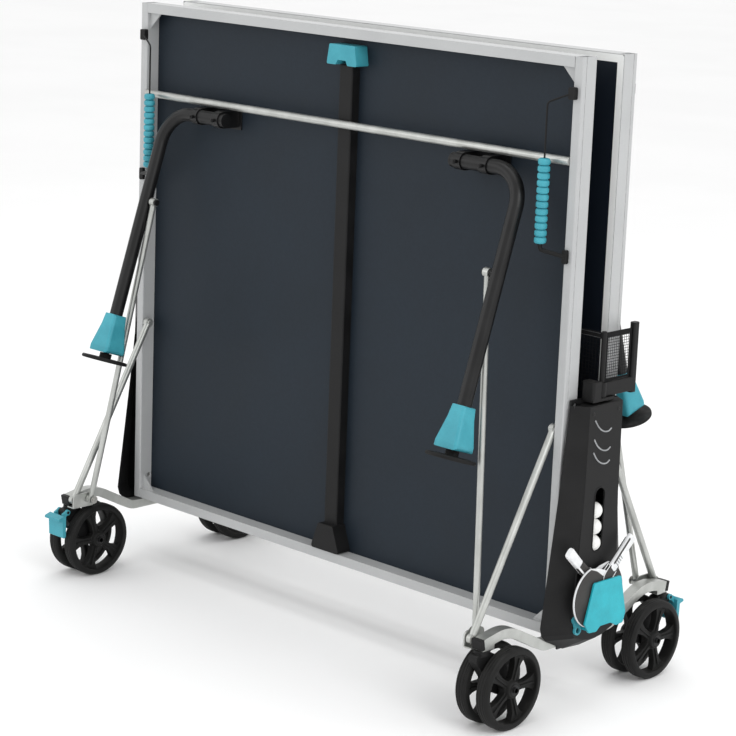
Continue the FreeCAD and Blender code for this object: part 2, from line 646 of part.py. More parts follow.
def wheel_window(x):
    """Opening between two spokes, wider at the rim."""
    y = -(SWIVEL_Y - TRAIL)
    points = [(y - 9, WHEEL_R + 32), (y + 9, WHEEL_R + 32), (y + 32, WHEEL_R + 62),
              (y + 22, WHEEL_R + 73), (y, WHEEL_R + 78), (y - 22, WHEEL_R + 73), (y - 32, WHEEL_R + 62)]
    window = prism_x(points, x - WHEEL_W, x + WHEEL_W)
    return round_edges(window, 5, lambda edge: along(edge, V(1, 0, 0)))


def wheel_pair():
    return Part.makeCompound([wheel(BAR_X - WHEEL_OFFSET), wheel(BAR_X + WHEEL_OFFSET)])


def brake_pedal():
    """Foot lever hung in front of the wheels, with a lip and two cheeks on the hinge pins."""
    x = BAR_X
    pad = prism_x([(-381, 122), (-383, 166), (-397, 170), (-396, 176), (-378, 182), (-371, 178),
                   (-371, 124), (-374, 120), (-379, 120)], x - 30, x + 30)
    pieces = [pad]
    for side in (-1, 1):
        near = x + side * 13.5
        far = x + side * 20
        link = prism_x([(-PEDAL_Y, PEDAL_Z + 7), (-374, 184), (-374, 164), (-PEDAL_Y - 3, PEDAL_Z - 7)],
                       near, far)
        ring = disc_x(min(near, far), max(near, far), -PEDAL_Y, PEDAL_Z, 7.5)
        pieces += [link, ring]
    pins = disc_x(x - 40, x + 40, -PEDAL_Y, PEDAL_Z, PEDAL_PIN_R + 0.06)
    return fuse(pieces).cut(pins)


# ---------------------------------------------------------------- every node
def half_nodes():
    rails = side_rail()
    frame = counter_frame()
    right_beads = beads()
    foot = foot_pad()
    return {
        "top_panel": top_panel(),
        "side_rails": both_sides(rails),
        "end_rails": end_rails(),
        "centre_beam": centre_beam(),
        "crossbar": crossbar(),
        "leg_brackets": leg_brackets(),
        "counter_frames": both_sides(frame),
        "counter_beads_right": right_beads,
        "counter_beads_left": mirror_x(right_beads),
        "release_handle": release_handle(),
        "legs": both_sides(leg()),
        "leg_boots": both_sides(leg_boot()),
        "foot_pad_right": foot,
        "foot_pad_left": mirror_x(foot),
        "outer_rods": both_sides(outer_rod()),
        "inner_rods": both_sides(inner_rod()),
        "guide_pins": both_sides(guide_carriage()),
    }


def all_nodes():
    nodes = {}
    for name, shape in half_nodes().items():
        nodes["front_" + name] = shape
        nodes["rear_" + name] = mirror_y(shape)
    nodes["base_bars"] = both_sides(base_bar())
    nodes["rod_brackets"] = rod_brackets()
    nodes["base_frame"] = base_frame()
    nodes["side_cover_right"] = side_cover(True)
    nodes["side_cover_left"] = mirror_x(side_cover(False))
    nodes["balls"] = balls()
    nodes["bat_holders"] = both_sides(bat_holder())
    nodes["bat_inner"] = bat(823.8, 9, 47)
    nodes["bat_outer"] = bat(836.2, -36, -47)
    nodes["lock_hook"] = lock_hook()
    nodes["net_brackets"] = both_sides(net_bracket())
    nodes["net"] = net()
    nodes["net_arm_right"] = net_arm()
    nodes["net_arm_left"] = mirror_x(net_arm())
    nodes["net_end_right"] = net_end()
    nodes["net_end_left"] = mirror_x(net_end())
    pair = wheel_pair()
    for end, turn_y in (("front", False), ("rear", True)):
        for side, turn_x in (("right", False), ("left", True)):
            fork = caster_fork(turn_x != turn_y)
            for name, shape in (("caster_fork", fork), ("wheels", pair)):
                placed = mirror_y(shape) if turn_y else shape
                placed = mirror_x(placed) if turn_x else placed
                nodes[name + "_" + end + "_" + side] = placed
    nodes["brake_pedal_front_left"] = mirror_x(brake_pedal())
    nodes["brake_pedal_rear_right"] = mirror_y(brake_pedal())
    return nodes


def main():
    os.makedirs("parts", exist_ok=True)
    for name, shape in all_nodes().items():
        shape.exportStep("parts/" + name + ".step")


main()
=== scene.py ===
"""Looks of a folding ping pong table on casters, shown in its storage position.

Metres, +Z up, +X across the playing width, +Y along the playing length, origin on the floor.
"""
import bmesh
import bpy
import json
import math
from mathutils import Matrix, Vector


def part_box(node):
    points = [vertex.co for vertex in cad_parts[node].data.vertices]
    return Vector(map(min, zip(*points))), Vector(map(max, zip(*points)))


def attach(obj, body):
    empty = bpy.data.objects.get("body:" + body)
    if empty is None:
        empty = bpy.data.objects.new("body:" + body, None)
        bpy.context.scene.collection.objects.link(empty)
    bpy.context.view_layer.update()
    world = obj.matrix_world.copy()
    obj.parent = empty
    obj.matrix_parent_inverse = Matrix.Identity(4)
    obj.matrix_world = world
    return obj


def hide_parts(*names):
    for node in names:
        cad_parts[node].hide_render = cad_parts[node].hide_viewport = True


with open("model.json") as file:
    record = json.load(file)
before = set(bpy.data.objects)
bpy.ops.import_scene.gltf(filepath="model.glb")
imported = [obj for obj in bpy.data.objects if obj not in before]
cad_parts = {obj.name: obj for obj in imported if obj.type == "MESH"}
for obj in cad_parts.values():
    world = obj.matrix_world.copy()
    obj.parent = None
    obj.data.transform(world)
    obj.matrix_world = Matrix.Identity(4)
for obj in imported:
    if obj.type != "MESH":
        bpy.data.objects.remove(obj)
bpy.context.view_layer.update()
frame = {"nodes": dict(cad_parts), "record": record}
NODES = frame["nodes"]
TAU = 2 * math.pi

# ---------------------------------------------------------------- places shared with the CAD
HALF_X = 0.7625                # side edge of the table
STORE_TOP = 1.5525             # outer edge of a stored half
PLAY_FACE_Y = 0.0507           # nearer the middle than this lies only a playing face
LINE_W = 0.020                 # border line
CENTRE_LINE_W = 0.003
COVER_X = 0.812                # outer face of a side cover
BALL_SEAM_X = COVER_X - 0.0179     # middle of the balls
BALL_Y = -0.0055               # middle of the ball slot
BALL_SLOT_Z = 0.4657
BALL_SLOT_STRAIGHT = 0.0603    # half of the straight part of the slot
BALL_SLOT_R = 0.0188
HOLDER_Z = 0.287               # middle of the bat blades
INNER_BAT = (0.8238, 0.009, 47.0)      # middle of the blade in X and Y, lean of the handle
OUTER_BAT = (0.8362, -0.036, -47.0)
BAR_X = 0.7525                 # middle of a base bar and of its casters
BAR_END_Y = 0.3485             # middle of the end of a base bar
BAR_END_Z = 0.2160
AXLE_Y = 0.268
WHEEL_R = 0.100
WHEEL_W = 0.036
WHEEL_OFFSET = 0.032           # middle of a wheel from the middle of its caster
ROD_Z = 0.222                  # rod pivots on the base
OUTER_PIVOT = (0.7155, 0.7340, 0.3426)     # from and to in X, and Y, of a rod's pivot
INNER_PIVOT = (0.6900, 0.7130, 0.2999)
LEG_BOLT_X = (0.424, 0.506)    # bolts on the two brackets of a leg
LEG_BOLT_Y = 0.1434
LEG_BOLT_Z = 1.2775
NET_ARM_X = 0.792              # hinge of a net arm, and plane of an end panel
NET_TOP = 0.9125
NET_LOW = 0.7622               # lower edge of the hem
NET_HALF = 0.7785              # end of the net strings
HEM_H = 0.006
NET_BAND_H = 0.016             # tape along the top
END_BAND_H = 0.014
NET_GRID = (168, 15)           # openings across and up
END_GRID = (12, 15)
BLADE_STEPS = 56               # points round the free edge of a bat
GRIP_SIDES = 28
SPOKES = 5
FLOOR_HALF = 60.0


# ---------------------------------------------------------------- materials
def add(tree, kind, inputs=None, **settings):
    """New shader node: its inputs are sockets to link or plain values."""
    made = tree.nodes.new(kind)
    for key, value in settings.items():
        setattr(made, key, value)
    for key, value in (inputs or {}).items():
        if isinstance(value, bpy.types.NodeSocket):
            tree.links.new(value, made.inputs[key])
        else:
            made.inputs[key].default_value = value
    return made


def rgba(colour):
    return (*colour, 1.0)


def ramp(tree, value, low, high, to_low=0.0, to_high=1.0):
    """Smooth step of a value from one range to another."""
    made = add(tree, "ShaderNodeMapRange", {0: value, 1: low, 2: high, 3: to_low, 4: to_high},
               interpolation_type="SMOOTHSTEP")
    return made.outputs[0]


def blend(tree, factor, a, b, mode="MIX"):
    made = add(tree, "ShaderNodeMix", {0: factor, 6: a, 7: b}, data_type="RGBA", blend_type=mode)
    return made.outputs[2]


def maths(tree, operation, a, b=0.0):
    made = add(tree, "ShaderNodeMath", {0: a, 1: b}, operation=operation)
    return made.outputs[0]


def noise(tree, place, scale, detail=3.0, roughness=0.55):
    made = add(tree, "ShaderNodeTexNoise", {"Vector": place, "Scale": scale, "Detail": detail,
                                            "Roughness": roughness})
    return made.outputs[0]


def finish(name, dark, light, rough=(0.4, 0.55), metal=0.0, blotch=9.0, grain=700.0, bump=0.15,
           depth=0.0004, edge=None, edge_size=0.0012, streak=None, pattern=None, coat=0.0,
           dust=0.0, specular=0.5, speckle=0.05):
    """Procedural finish: two tones, grain, roughness that varies, worn edges and a little dust."""
    material = bpy.data.materials.new(name)
    material.use_nodes = True
    tree = material.node_tree
    shader = tree.nodes["Principled BSDF"]
    place = add(tree, "ShaderNodeTexCoord").outputs["Object"]
    if streak:
        place_streak = add(tree, "ShaderNodeMapping", {"Vector": place, "Scale": streak}).outputs[0]
        wide = noise(tree, place_streak, blotch, 5.0)
    else:
        wide = noise(tree, place, blotch, 5.0)
    fine = noise(tree, place, grain, 4.0, 0.6)
    colour = blend(tree, ramp(tree, wide, 0.32, 0.68), rgba(dark), rgba(light))
    speck = ramp(tree, noise(tree, place, grain * 0.31, 2.0), 0.35, 0.7, 1 - speckle, 1 + speckle)
    colour = blend(tree, 1.0, colour, speck, "MULTIPLY")
    mixed = maths(tree, "ADD", wide, maths(tree, "MULTIPLY", fine, 0.5))
    roughness = ramp(tree, mixed, 0.45, 1.05, rough[0], rough[1])
    soft = add(tree, "ShaderNodeBevel", {"Radius": edge_size}, samples=4)
    if pattern:
        colour = pattern(tree, place, colour)
    if edge:
        plain = add(tree, "ShaderNodeNewGeometry").outputs["Normal"]
        turn = add(tree, "ShaderNodeVectorMath", {0: soft.outputs[0], 1: plain},
                   operation="DOT_PRODUCT").outputs["Value"]
        worn = ramp(tree, turn, 0.985, 0.86)
        broken = ramp(tree, noise(tree, place, 85.0, 5.0), 0.40, 0.62)
        mask = maths(tree, "MULTIPLY", maths(tree, "MULTIPLY", worn, broken), 0.55)
        colour = blend(tree, mask, colour, rgba(edge))
    if dust:
        facing = add(tree, "ShaderNodeNewGeometry").outputs["Normal"]
        up = add(tree, "ShaderNodeSeparateXYZ", {0: facing})
        lying = ramp(tree, up.outputs[2], 0.35, 1.0)
        patchy = ramp(tree, noise(tree, place, 38.0, 6.0), 0.38, 0.72)
        mask = maths(tree, "MULTIPLY", maths(tree, "MULTIPLY", lying, patchy), dust)
        colour = blend(tree, mask, colour, rgba((0.42, 0.41, 0.39)))
    relief = add(tree, "ShaderNodeBump", {"Height": fine, "Strength": bump, "Distance": depth,
                                          "Normal": soft.outputs[0]})
    tree.links.new(colour, shader.inputs["Base Color"])
    tree.links.new(roughness, shader.inputs["Roughness"])
    tree.links.new(relief.outputs[0], shader.inputs["Normal"])
    shader.inputs["Metallic"].default_value = metal
    shader.inputs["Coat Weight"].default_value = coat
    shader.inputs["Coat Roughness"].default_value = 0.25
    shader.inputs["Specular IOR Level"].default_value = specular
    return material


def playing_lines_and_painted_shade(tree, place, colour):
    """White border and centre lines on the playing face only, over the face's own blue darkened as
    painted shade of the gap between the stored halves.
    """
    parts = add(tree, "ShaderNodeSeparateXYZ", {0: place})
    across = maths(tree, "ABSOLUTE", parts.outputs[0])
    along = maths(tree, "ABSOLUTE", parts.outputs[1])
    face = maths(tree, "LESS_THAN", along, PLAY_FACE_Y)
    side = maths(tree, "GREATER_THAN", across, HALF_X - LINE_W)
    end = maths(tree, "GREATER_THAN", parts.outputs[2], STORE_TOP - LINE_W)
    middle = maths(tree, "LESS_THAN", across, CENTRE_LINE_W / 2)
    any_line = maths(tree, "MAXIMUM", maths(tree, "MAXIMUM", side, end), middle)
    # Darker blue on the playing face: its own blue plus painted shade of the narrow gap between the
    # halves.
    face_blue_with_painted_shade = blend(tree, face, colour, rgba((0.0045, 0.0075, 0.0130)))
    return blend(tree, maths(tree, "MULTIPLY", any_line, face), face_blue_with_painted_shade, rgba((0.80, 0.81, 0.80)))


def ball_seam(tree, place, colour):
    """Faint moulding seam round a ball."""
    parts = add(tree, "ShaderNodeSeparateXYZ", {0: place})
    wave = maths(tree, "ABSOLUTE", maths(tree, "SUBTRACT", parts.outputs[0], BALL_SEAM_X))
    seam = ramp(tree, wave, 0.0, 0.0005, 0.5, 0.0)
    return blend(tree, seam, colour, rgba((0.55, 0.55, 0.54)))


def weave(tree, place, colour):
    """Fine cross weave for tape."""
    parts = add(tree, "ShaderNodeSeparateXYZ", {0: place})
    total = maths(tree, "ADD", parts.outputs[0], parts.outputs[1])
    warp = maths(tree, "SINE", maths(tree, "MULTIPLY", total, 5200.0))
    weft = maths(tree, "SINE", maths(tree, "MULTIPLY", parts.outputs[2], 5200.0))
    return blend(tree, ramp(tree, maths(tree, "MULTIPLY", warp, weft), -1.0, 1.0, 0.0, 0.5),
                 colour, rgba((0.030, 0.030, 0.032)))


MATERIALS = {
    "playing_sheet": finish("playing_sheet", (0.0100, 0.0160, 0.0235), (0.0128, 0.0200, 0.0290),
                            (0.46, 0.60), blotch=3.2, grain=420.0, bump=0.08, depth=0.0003,
                            pattern=playing_lines_and_painted_shade, edge=(0.06, 0.07, 0.08), specular=0.22),
    "frame_paint": finish("frame_paint", (0.400, 0.408, 0.412), (0.440, 0.448, 0.450), (0.36, 0.48),
                          blotch=4.0, grain=900.0, bump=0.10, edge=(0.72, 0.72, 0.71), dust=0.06,
                          coat=0.10, speckle=0.012),
    "galvanised_steel": finish("galvanised_steel", (0.42, 0.43, 0.41), (0.52, 0.53, 0.51),
                               (0.28, 0.40), metal=0.75, blotch=22.0, grain=1500.0, bump=0.08,
                               streak=(1, 1, 0.5), edge=(0.66, 0.66, 0.65), dust=0.06,
                               speckle=0.02),
    "zinc_steel": finish("zinc_steel", (0.40, 0.40, 0.38), (0.56, 0.55, 0.52), (0.30, 0.46),
                         metal=0.9, blotch=90.0, grain=1400.0, bump=0.14,
                         edge=(0.80, 0.80, 0.79)),
    "black_steel": finish("black_steel", (0.0045, 0.0045, 0.0048), (0.0085, 0.0085, 0.0088),
                          (0.30, 0.42), blotch=12.0, grain=1100.0, bump=0.16,
                          edge=(0.035, 0.035, 0.036), dust=0.02, specular=0.30),
    "black_plastic": finish("black_plastic", (0.0055, 0.0055, 0.0057), (0.0090, 0.0090, 0.0093),
                            (0.46, 0.60), blotch=14.0, grain=1600.0, bump=0.26,
                            edge=(0.040, 0.040, 0.041), dust=0.03, specular=0.22),
    "cyan_plastic": finish("cyan_plastic", (0.040, 0.285, 0.355), (0.055, 0.340, 0.415),
                           (0.40, 0.54), blotch=18.0, grain=1500.0, bump=0.18,
                           edge=(0.26, 0.56, 0.62), dust=0.05, specular=0.35),
    "black_rubber": finish("black_rubber", (0.0065, 0.0065, 0.0065), (0.0120, 0.0120, 0.0120),
                           (0.58, 0.78), blotch=22.0, grain=1300.0, bump=0.30,
                           edge=(0.035, 0.035, 0.035), dust=0.05, specular=0.2),
    "wheel_black": finish("wheel_black", (0.0050, 0.0050, 0.0048), (0.0095, 0.0095, 0.0092),
                          (0.46, 0.66), blotch=26.0, grain=1200.0, bump=0.26,
                          edge=(0.035, 0.035, 0.035), dust=0.03, specular=0.2),
    "ball_white": finish("ball_white", (0.78, 0.78, 0.76), (0.84, 0.84, 0.82), (0.42, 0.58),
                         blotch=45.0, grain=1800.0, bump=0.12, pattern=ball_seam),
    "bat_rubber": finish("bat_rubber", (0.028, 0.026, 0.025), (0.044, 0.042, 0.040), (0.46, 0.62),
                         blotch=30.0, grain=1500.0, bump=0.22, edge=(0.10, 0.10, 0.10),
                         specular=0.3),
    "net_fabric": finish("net_fabric", (0.0035, 0.0035, 0.0035), (0.0090, 0.0090, 0.0095),
                         (0.78, 0.92), blotch=150.0, grain=2600.0, bump=0.40, pattern=weave,
                         specular=0.1),
    "bat_white": finish("bat_white", (0.70, 0.71, 0.72), (0.80, 0.81, 0.82), (0.34, 0.48),
                        blotch=40.0, grain=1600.0, bump=0.12, edge=(0.88, 0.88, 0.88)),
    "trim_grey": finish("trim_grey", (0.24, 0.25, 0.26), (0.34, 0.35, 0.36), (0.34, 0.50),
                        blotch=40.0, grain=1300.0, bump=0.15),
    "holder_cyan": finish("holder_cyan", (0.012, 0.345, 0.415), (0.020, 0.415, 0.490), (0.34, 0.46),
                          blotch=18.0, grain=1500.0, bump=0.18, edge=(0.20, 0.62, 0.68),
                          specular=0.35),
}


# ---------------------------------------------------------------- mesh helpers
def piece(name, bm, material, body, slot=None, smooth=True, bevel=0.0, place=None, stand_for=()):
    """Makes an object of a bmesh, gives it a finish, and lets it ride on a body."""
    mesh = bpy.data.meshes.new(name)
    bmesh.ops.recalc_face_normals(bm, faces=bm.faces)
    bm.to_mesh(mesh)
    bm.free()
    if place is not None:
        mesh.transform(place)
    made = bpy.data.objects.new(name, mesh)
    bpy.context.scene.collection.objects.link(made)
    mesh.materials.append(MATERIALS[material])
    if bevel:
        rounding = made.modifiers.new("rounding", "BEVEL")
        rounding.width = bevel
        rounding.segments = 2
        rounding.limit_method = "ANGLE"
        rounding.angle_limit = math.radians(35)
    if smooth:
        for face in mesh.polygons:
            face.use_smooth = True
        mesh.set_sharp_from_angle(angle=math.radians(38))
    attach(made, body)
    if stand_for:
        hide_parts(*stand_for)
    return made


def turned(profile, steps=48):
    """Surface of (radius, height) points turned about Z; radius 0 closes an end."""
    bm = bmesh.new()
    rings = []
    for radius, height in profile:
        if radius <= 0:
            rings.append([bm.verts.new((0, 0, height))])
            continue
        rings.append([bm.verts.new((radius * math.cos(TAU * i / steps),
                                    radius * math.sin(TAU * i / steps), height))
                      for i in range(steps)])
    for low, high in zip(rings, rings[1:]):
        for i in range(steps):
            j = (i + 1) % steps
            corners = [low[i % len(low)], low[j % len(low)],
                       high[j % len(high)], high[i % len(high)]]
            unique = list(dict.fromkeys(corners))
            if len(unique) > 2:
                bm.faces.new(unique)
    return bm


def slab(outline, low, high):
    """Flat plate: an outline of (x, y) points drawn from low to high in Z."""
    bm = bmesh.new()
    floor = [bm.verts.new((x, y, low)) for x, y in outline]
    roof = [bm.verts.new((x, y, high)) for x, y in outline]
    bm.faces.new(floor[::-1])
    bm.faces.new(roof)
    count = len(outline)
    for i in range(count):
        j = (i + 1) % count
        bm.faces.new((floor[i], floor[j], roof[j], roof[i]))
    return bm


def tube(points, radius, sides=8, closed=False):
    """Round bar along points."""
    bm = bmesh.new()
    places = [Vector(p) for p in points]
    count = len(places)
    rings = []
    side = None
    for i, p in enumerate(places):
        after = places[(i + 1) % count] if closed or i + 1 < count else p
        before = places[i - 1] if closed or i else p
        way = (after - before).normalized()
        if side is None:
            side = way.orthogonal().normalized()
        side = (side - way * side.dot(way)).normalized()
        other = way.cross(side)
        rings.append([bm.verts.new(p + (side * math.cos(TAU * k / sides)
                                        + other * math.sin(TAU * k / sides)) * radius)
                      for k in range(sides)])
    pairs = list(zip(rings, rings[1:])) + ([(rings[-1], rings[0])] if closed else [])
    for a, b in pairs:
        for k in range(sides):
            m = (k + 1) % sides
            bm.faces.new((a[k], a[m], b[m], b[k]))
    if not closed:
        bm.faces.new(rings[0][::-1])
        bm.faces.new(rings[-1])
    return bm


def merge(parts):
    """One bmesh of several (bmesh, matrix) pairs."""
    whole = bmesh.new()
    for part, place in parts:
        spare = bpy.data.meshes.new("spare")
        bmesh.ops.transform(part, matrix=place, verts=part.verts)
        part.to_mesh(spare)
        part.free()
        whole.from_mesh(spare)
        bpy.data.meshes.remove(spare)
    return whole


def toward(axis, place):
    """Matrix that stands a Z-up shape along an axis at a place."""
    turn = Vector((0, 0, 1)).rotation_difference(Vector(axis)).to_matrix().to_4x4()
    return Matrix.Translation(Vector(place)) @ turn


def smooth_path(points, steps=10):
    """Catmull-Rom points through the given ones."""
    p = [Vector(q) for q in points]
    p = [p[0] * 2 - p[1]] + p + [p[-1] * 2 - p[-2]]
    out = []
    for i in range(1, len(p) - 2):
        for s in range(steps):
            t = s / steps
            a, b, c, d = p[i - 1], p[i], p[i + 1], p[i + 2]
            out.append(0.5 * ((2 * b) + (c - a) * t + (2 * a - 5 * b + 4 * c - d) * t * t
                              + (3 * b - a - 3 * c + d) * t ** 3))
    out.append(p[-2])
    return out


# ---------------------------------------------------------------- finishes of the CAD nodes
def paint_nodes():
    """Gives each CAD node the finish of its material slot."""
    slots = {row["node"]: row["material_slot"] for row in frame["record"]["subparts"]}
    slots["bat_holders"] = "holder_cyan"
    for name, shown in NODES.items():
        shown.data.materials.clear()
        shown.data.materials.append(MATERIALS[slots[name]])


# ---------------------------------------------------------------- net
def lattice(corner, across, up, columns, rows, thread, ripple):
    """Woven net: cords over a grid that pass before and behind each other at the crossings."""
    bm = bmesh.new()
    corner, across, up = Vector(corner), Vector(across), Vector(up)
    out = across.cross(up).normalized()

    def at(i, j, parity):
        lift = ripple * (1 if (i + j) % 2 == parity else -1)
        return corner + across * (i / columns) + up * (j / rows) + out * lift

    def cord(points):
        rings = []
        for index, p in enumerate(points):
            ahead = points[min(index + 1, len(points) - 1)] - points[max(index - 1, 0)]
            side = ahead.cross(out).normalized()
            rings.append([bm.verts.new(p + side * thread), bm.verts.new(p + out * thread),
                          bm.verts.new(p - side * thread), bm.verts.new(p - out * thread)])
        for a, b in zip(rings, rings[1:]):
            for k in range(4):
                bm.faces.new((a[k], a[(k + 1) % 4], b[(k + 1) % 4], b[k]))
        bm.faces.new(rings[0][::-1])
        bm.faces.new(rings[-1])

    for i in range(columns + 1):
        cord([at(i, j, 0) for j in range(rows + 1)])
    for j in range(rows + 1):
        cord([at(i, j, 1) for i in range(columns + 1)])
    return bm


def tape(low, high, way, thick):
    """Folded tape: a soft-edged band between two corners, bulged slightly away from the net."""
    bm = bmesh.new()
    low, high, way = Vector(low), Vector(high), Vector(way).normalized()
    run = high - low
    length = abs(run.x) + abs(run.y)
    steps = max(4, int(length / 0.012))
    flat = Vector((run.x, run.y, 0))
    rise = Vector((0, 0, run.z))
    profile = [(0.0, 0.0), (0.06, 0.8), (0.5, 1.0), (0.94, 0.8), (1.0, 0.0), (0.94, -0.8),
               (0.5, -1.0), (0.06, -0.8)]     # share of the height, share of the thickness
    rings = []
    for s in range(steps + 1):
        wobble = 0.12 * math.sin(s * 1.7)
        here = low + flat * (s / steps)
        rings.append([bm.verts.new(here + rise * h + way * (thick * (o + wobble * o)))
                      for h, o in profile])
    count = len(profile)
    for a, b in zip(rings, rings[1:]):
        for k in range(count):
            bm.faces.new((a[k], a[(k + 1) % count], b[(k + 1) % count], b[k]))
    bm.faces.new(rings[0][::-1])
    bm.faces.new(rings[-1])
    return bm


def make_net():
    """Net between the corner posts: strings, top tape, hem and the seams of the tape."""
    low_box, high_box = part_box("net")
    half = high_box[0]
    identity = Matrix.Identity(4)
    strings = lattice((-NET_HALF, 0, NET_LOW + 0.0033), (2 * NET_HALF, 0, 0), (0, 0, 0.1350),
                      *NET_GRID, 0.00072, 0.0003)
    band = tape((-half + 0.0003, 0, NET_TOP - NET_BAND_H), (half - 0.0003, 0, NET_TOP), (0, 1, 0),
                0.0009)
    hem = tape((-NET_HALF, 0, NET_LOW), (NET_HALF, 0, NET_LOW + HEM_H), (0, 1, 0), 0.0009)
    cloth = piece("net_cloth", merge([(strings, identity), (band, identity), (hem, identity)]),
                  "net_fabric", "base", slot="net_fabric", smooth=False, stand_for=("net",))
    seams = []
    for y in (-0.00095, 0.00095):
        for z in (NET_TOP - 0.0035, NET_TOP - 0.0135):
            run = [(-half + 0.004, y, z), (half - 0.004, y, z)]
            seams.append((tube(run, 0.00025, 4), identity))
    stitches = piece("net_seams", merge(seams), "trim_grey", "base", slot="net_fabric")
    for side, sign in (("right", 1), ("left", -1)):
        make_end_panel(side, sign)


def make_end_panel(side, sign):
    """Short piece of net that the folded arm carries, bound on all four edges."""
    low_box, high_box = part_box("net_end_" + side)
    x = sign * NET_ARM_X
    y0, y1 = low_box[1] + 0.0005, high_box[1] - 0.0005
    z0, z1 = low_box[2] + 0.0003, high_box[2] - 0.0003
    identity = Matrix.Identity(4)
    strings = lattice((x, y0 + 0.004, z0 + 0.005), (0, y1 - y0 - 0.008, 0),
                      (0, 0, z1 - z0 - 0.018), *END_GRID, 0.00066, 0.00025)
    band = tape((x, y0, z1 - END_BAND_H), (x, y1, z1), (1, 0, 0), 0.0009)
    hem = tape((x, y0, z0), (x, y1, z0 + HEM_H), (1, 0, 0), 0.0009)
    near = tape((x, y0, z0), (x, y0 + 0.007, z1), (1, 0, 0), 0.0008)
    far = tape((x, y1 - 0.007, z0), (x, y1, z1), (1, 0, 0), 0.0008)
    parts = [(part, identity) for part in (strings, band, hem, near, far)]
    cloth = piece("net_end_cloth_" + side, merge(parts), "net_fabric", "net_arm_" + side,
                  slot="net_fabric", smooth=False, stand_for=("net_end_" + side,))


# ---------------------------------------------------------------- bats
def blade_outline(size, neck):
    """Rounded blade that narrows into a neck at the top, as (across, along) points."""
    points = []
    for i in range(BLADE_STEPS + 1):
        angle = math.radians(62) + (TAU - math.radians(124)) * i / BLADE_STEPS
        across = size * 0.985 * math.sin(angle)
        along = size * math.cos(angle)
        points.append((across, along))
    top = points[0][1]
    shoulder = [(-points[0][0] * 0.62, top + 0.020), (-neck, top + 0.034)]
    return points + shoulder + [(-x, y) for x, y in shoulder[::-1]]


GRIP = ((0.082, 0.0118, 0.0046), (0.088, 0.0138, 0.0060), (0.100, 0.0128, 0.0066),
        (0.127, 0.0120, 0.0068), (0.158, 0.0132, 0.0069), (0.176, 0.0142, 0.0070),
        (0.1812, 0.0126, 0.0062))     # along the handle, half width, half thickness
POMMEL_FROM = 3                # section of GRIP at which the pommel starts
RUBBER_TOP = [(-0.044, 0.0450), (-0.014, 0.0520), (0.014, 0.0520), (0.044, 0.0450)]


def grip_part(sections):
    """Soft-cornered length of a handle through its sections."""
    bm = bmesh.new()
    rings = []
    for along, wide, thick in sections:
        ring = []
        for k in range(GRIP_SIDES):
            a = TAU * k / GRIP_SIDES
            full = (abs(math.cos(a)) ** 3 + abs(math.sin(a)) ** 3) ** (-1 / 3)
            place = (wide * full * math.cos(a), along, thick * full * math.sin(a))
            ring.append(bm.verts.new(place))
        rings.append(ring)
    for a, b in zip(rings, rings[1:]):
        for k in range(GRIP_SIDES):
            m = (k + 1) % GRIP_SIDES
            bm.faces.new((a[k], a[m], b[m], b[k]))
    bm.faces.new(rings[0][::-1])
    bm.faces.new(rings[-1])
    return bm


def make_bat(body, x, y, lean, dark_grip):
    """Bat in a holder: rim, two rubbers, neck with a raised throat, and a two-part handle."""
    turn = Matrix.Rotation(math.radians(lean), 4, "X")
    stand = Matrix(((0, 0, 1, 0), (1, 0, 0, 0), (0, 1, 0, 0), (0, 0, 0, 1)))
    place = Matrix.Translation((x, y, HOLDER_Z)) @ turn @ stand
    identity = Matrix.Identity(4)
    common = {"body": body, "slot": "bat_rubber", "place": place}
    core = slab(blade_outline(0.0755, 0.0130), -0.0024, 0.0024)
    piece(body + "_rim", core, "bat_white", bevel=0.0009, stand_for=(body,), **common)
    faces = []
    for low in (0.0024, -0.0043):
        outline = blade_outline(0.0738, 0.0200)[:BLADE_STEPS + 1] + RUBBER_TOP
        faces.append((slab(outline, low, low + 0.0019), identity))
    piece(body + "_rubbers", merge(faces), "bat_rubber", bevel=0.0005, **common)
    outline = [(-0.0125, 0.050), (0.0125, 0.050), (0.0125, 0.098), (-0.0125, 0.098)]
    neck = slab(outline, -0.0042, 0.0042)
    piece(body + "_neck", neck, "bat_rubber", bevel=0.0016, **common)
    throat = [(-0.0150, 0.088), (-0.0160, 0.066), (-0.0120, 0.050), (0.0, 0.044), (0.0120, 0.050),
              (0.0160, 0.066), (0.0150, 0.088)]
    edges = [(tube(smooth_path([(a, b, z) for a, b in throat], 6), 0.0011, 6), identity)
             for z in (-0.0040, 0.0040)]
    piece(body + "_throat", merge(edges), "bat_white", **common)
    piece(body + "_grip", grip_part(GRIP[:POMMEL_FROM + 1]),
          "bat_rubber" if dark_grip else "bat_white", **common)
    piece(body + "_pommel", grip_part(GRIP[POMMEL_FROM:]), "bat_white", **common)
    strip = [(-0.0118, 0.094), (-0.0066, 0.094), (-0.0066, 0.170), (-0.0118, 0.170)]
    strips = [(slab(strip, low, low + 0.0009), identity) for low in (0.0062, -0.0071)]
    piece(body + "_strip", merge(strips), "bat_white" if dark_grip else "bat_rubber", bevel=0.0003,
          **common)
    ribs = []
    for along in (0.098, 0.105, 0.112, 0.119):
        for low in (0.0061, -0.0071):
            end = along + 0.0030
            outline = [(-0.0055, along), (0.0060, along), (0.0060, end), (-0.0055, end)]
            ribs.append((slab(outline, low, low + 0.0010), identity))
    piece(body + "_ribs", merge(ribs), "bat_rubber" if dark_grip else "trim_grey", bevel=0.0003,
          **common)


# ---------------------------------------------------------------- side covers
ARC = [(-0.040, 0.0), (-0.026, -0.018), (-0.008, -0.030), (0.010, -0.033), (0.022, -0.027)]
ARC_TOPS = (0.712, 0.666, 0.634)
COVER_SCREWS = ((-0.046, 0.728), (0.046, 0.728), (-0.056, 0.345), (0.056, 0.345))


